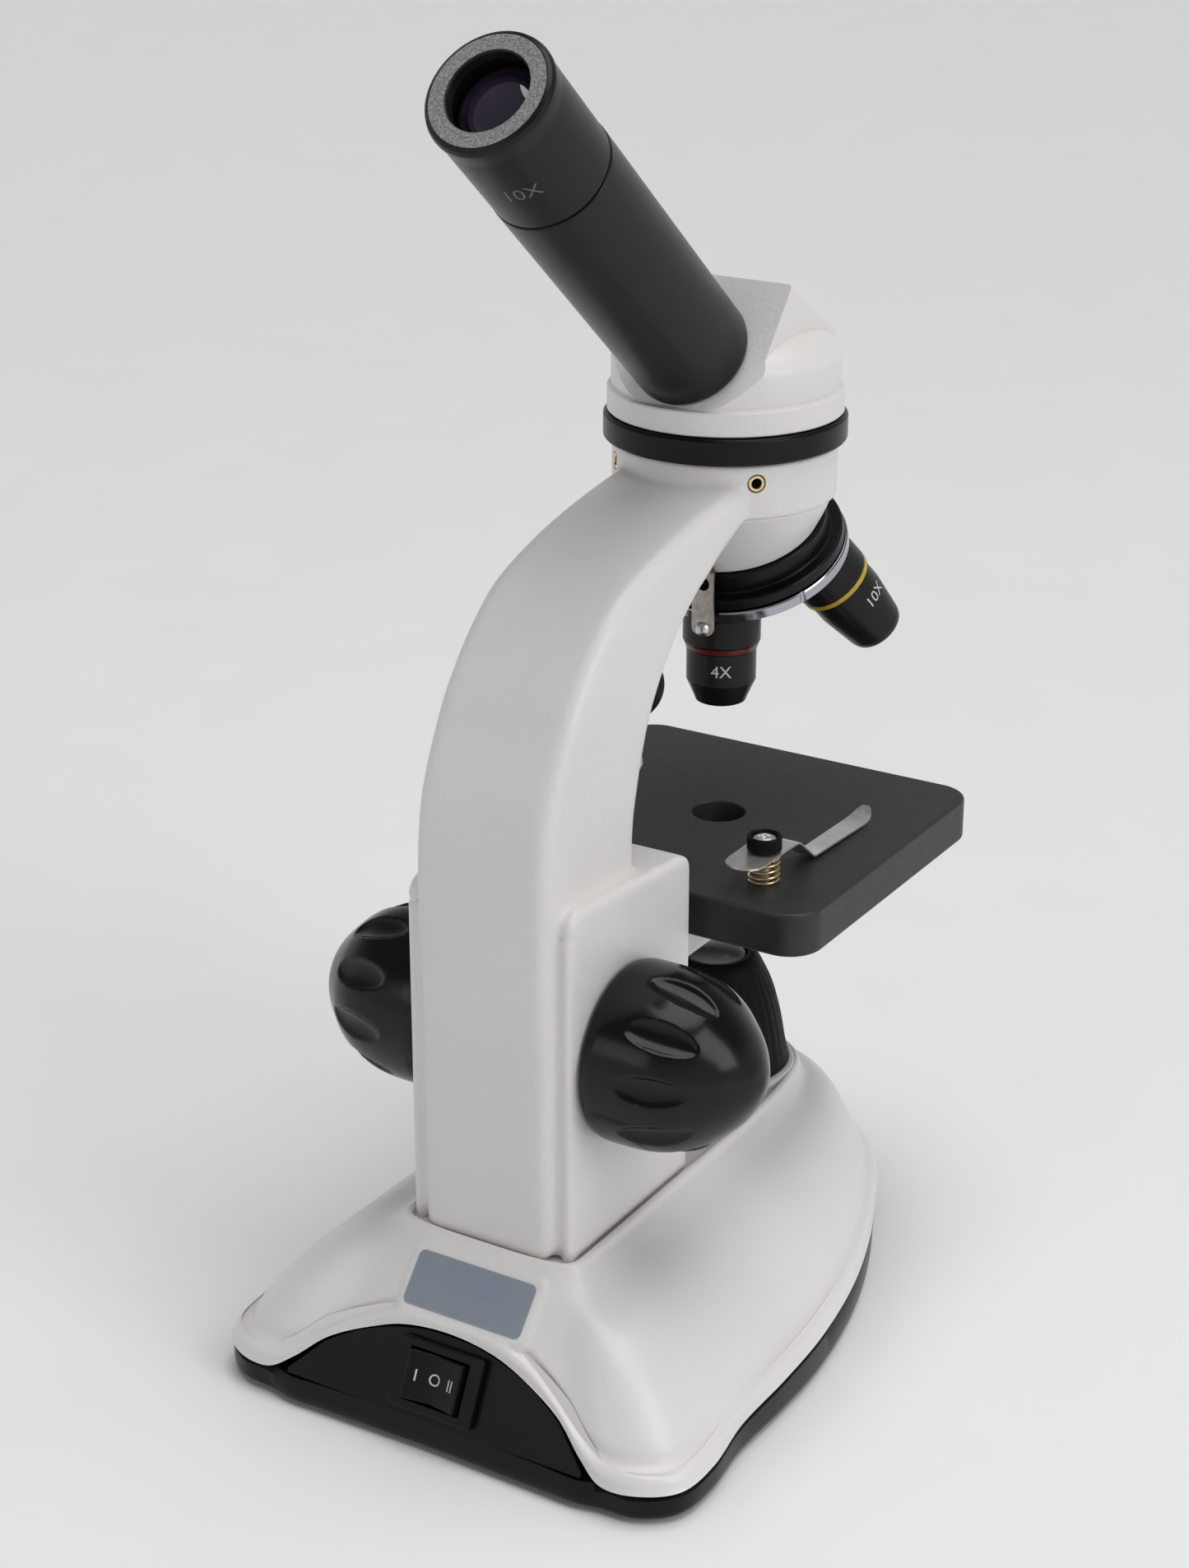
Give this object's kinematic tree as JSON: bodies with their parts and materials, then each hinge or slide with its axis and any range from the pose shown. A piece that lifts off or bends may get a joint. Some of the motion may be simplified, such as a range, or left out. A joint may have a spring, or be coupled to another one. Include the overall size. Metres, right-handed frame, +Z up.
{
  "type": "microscope",
  "caption": "Student compound microscope with a curved arm, inclined eyepiece tube, turning nosepiece, focusing stage with slide clips, and lamps above and below the stage",
  "frame": {"origin": "middle of the footprint of the whole object's bounding box, on the ground under its feet", "axes": "+Z up; +Y towards the back of the arm, where the eyepiece leans; X across, mirror plane at X = 0"},
  "size_m": [0.1176, 0.1639, 0.2874],
  "materials": {
    "white_paint": "fine orange-peel powder coat, cool white",
    "black_gloss": "satin black moulding",
    "black_matte": "fine-textured matte black",
    "black_anodised": "satin black anodised barrel",
    "stage_black": "fine wrinkle matte black",
    "chrome": "polished, fine straight knurl",
    "steel": "bright spring and machined steel",
    "brass": "bright turned brass",
    "glass": "coated optical glass with a violet tint",
    "rubber": "matte rubber",
    "label_foil": "blank silver-blue label",
    "grey_plastic": "grey moulding",
    "lamp_white": "warm white lamp"
  },
  "bodies": {
    "base": {"base_shell": "white_paint", "base_tray": "black_gloss", "rear_panel": "black_gloss", "foot_front_left": "rubber", "foot_front_right": "rubber", "foot_rear_left": "rubber", "foot_rear_right": "rubber", "battery_cover": "black_gloss", "battery_pack": "grey_plastic", "column_bolt_rear": "steel", "column_bolt_front": "steel", "switch_bezel": "black_gloss", "blank_label": "label_foil", "lamp_housing": "black_matte", "lamp_lens": "glass", "lamp_led": "lamp_white", "arm": "white_paint", "collar_insert_1": "brass", "collar_insert_2": "brass", "collar_insert_3": "brass", "head_ring": "black_gloss", "upper_lamp": "black_matte", "upper_lamp_lens": "glass", "nosepiece_mount": "white_paint", "turret_screw": "steel", "click_spring": "steel", "shaft_bush_left": "brass", "shaft_bush_right": "brass"},
    "switch": {"switch_rocker": "black_gloss"},
    "head": {"head_housing": "white_paint", "prism": "glass", "eyepiece_tube": "black_anodised"},
    "eyepiece_body": {"eyepiece": "black_anodised", "eye_lens": "glass"},
    "nosepiece": {"turret": "black_anodised", "turret_ring": "chrome", "objective_4x": "black_anodised", "objective_4x_lens": "glass", "objective_10x": "black_anodised", "objective_10x_lens": "glass", "objective_40x": "black_anodised"},
    "sprung_nose": {"objective_40x_lens": "glass", "objective_40x_nose": "chrome"},
    "knobs": {"focus_shaft": "steel", "focus_knob_left": "black_gloss", "focus_knob_right": "black_gloss"},
    "stage": {"focus_rack": "steel", "stage_bracket": "white_paint", "stage_plate": "stage_black", "condenser_lens": "glass", "diaphragm_screw": "steel", "clip_screw_left": "steel", "clip_cap_left": "black_matte", "clip_spring_left": "brass", "clip_screw_right": "steel", "clip_cap_right": "black_matte", "clip_spring_right": "brass"},
    "diaphragm": {"diaphragm_disc": "black_matte"},
    "clip_left": {"clip_leaf_left": "steel"},
    "clip_right": {"clip_leaf_right": "steel"}
  },
  "joints": [
    {"name": "switch_rock", "type": "hinge", "parent": "base", "child": "switch", "pos_m": [0, 0.07677, 0.01552], "axis": [0, -0.4446, 0.8957], "range_deg": [-12, 12]},
    {"name": "head_swivel", "type": "hinge", "parent": "base", "child": "head", "pos_m": [0, -0.0398, 0.2006], "axis": [0, 0, 1], "continuous": true},
    {"name": "eyepiece_lift", "type": "slide", "parent": "head", "child": "eyepiece_body", "axis": [0, 0.766, 0.6428], "range_m": [0, 0.026]},
    {"name": "nosepiece_turn", "type": "hinge", "parent": "base", "child": "nosepiece", "pos_m": [0, -0.04806, 0.16849], "axis": [0, -0.4131, -0.9107], "continuous": true},
    {"name": "nose_40x_spring", "type": "slide", "parent": "nosepiece", "child": "sprung_nose", "axis": [-0.3578, 0.5643, 0.744], "range_m": [0, 0.002], "stiffness_N_per_m": 400, "springref_m": -0.003},
    {"name": "stage_lift", "type": "slide", "parent": "base", "child": "stage", "axis": [0, 0, 1], "range_m": [-0.003, 0.0145]},
    {"name": "focus_turn", "type": "hinge", "parent": "base", "child": "knobs", "pos_m": [0, 0.0355, 0.081], "axis": [1, 0, 0], "range_deg": [-139, 29]},
    {"name": "diaphragm_turn", "type": "hinge", "parent": "stage", "child": "diaphragm", "pos_m": [0, -0.0553, 0.0919], "axis": [0, 0, 1], "continuous": true},
    {"name": "clip_left_turn", "type": "hinge", "parent": "stage", "child": "clip_left", "pos_m": [0.0274, -0.0108, 0.1099], "axis": [0, 0, 1], "range_deg": [-30, 30]},
    {"name": "clip_right_turn", "type": "hinge", "parent": "stage", "child": "clip_right", "pos_m": [-0.0274, -0.0108, 0.1099], "axis": [0, 0, 1], "range_deg": [-30, 30]}
  ],
  "couplings": [
    {"joint": "focus_turn", "follows": "stage_lift", "rad_per_m": -166.67}
  ]
}
